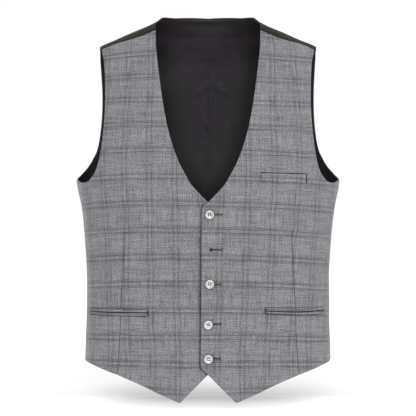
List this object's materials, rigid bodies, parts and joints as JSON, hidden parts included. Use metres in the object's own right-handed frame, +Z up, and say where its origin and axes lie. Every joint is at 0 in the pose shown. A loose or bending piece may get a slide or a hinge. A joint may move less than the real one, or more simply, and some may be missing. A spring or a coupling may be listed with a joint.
{
  "type": "suit waistcoat",
  "caption": "Single-breasted sleeveless waistcoat with a V neck, pointed front hem, chest welt, jetted lower pockets and round buttons, hollow in its worn shape.",
  "frame": {"origin": "midway between the two points where the neck edge crosses the shoulder ridges, where the wearer's shoulders carry the garment", "axes": "+Z up along the garment's length, -Y the way the front faces, +X towards the wearer's left"},
  "size_m": [0.436, 0.2379, 0.6365],
  "materials": {
    "wool_check": "matt grey worsted wool with a darker double windowpane check",
    "back_satin": "dark grey satin",
    "lining": "dark satin lining",
    "button_pearl": "off-white pearl, polished",
    "thread": "twisted sewing thread"
  },
  "bodies": {
    "root": {"front_left": "wool_check", "front_right": "wool_check", "back_left": "back_satin", "back_right": "back_satin", "back_lining_left": "lining", "back_lining_right": "lining", "chest_welt": "wool_check", "pocket_left_upper_jet": "wool_check", "pocket_left_lower_jet": "wool_check", "pocket_right_upper_jet": "wool_check", "pocket_right_lower_jet": "wool_check", "button_1": "button_pearl", "button_3": "button_pearl", "button_4": "button_pearl", "button_5": "button_pearl"}
  },
  "joints": []
}
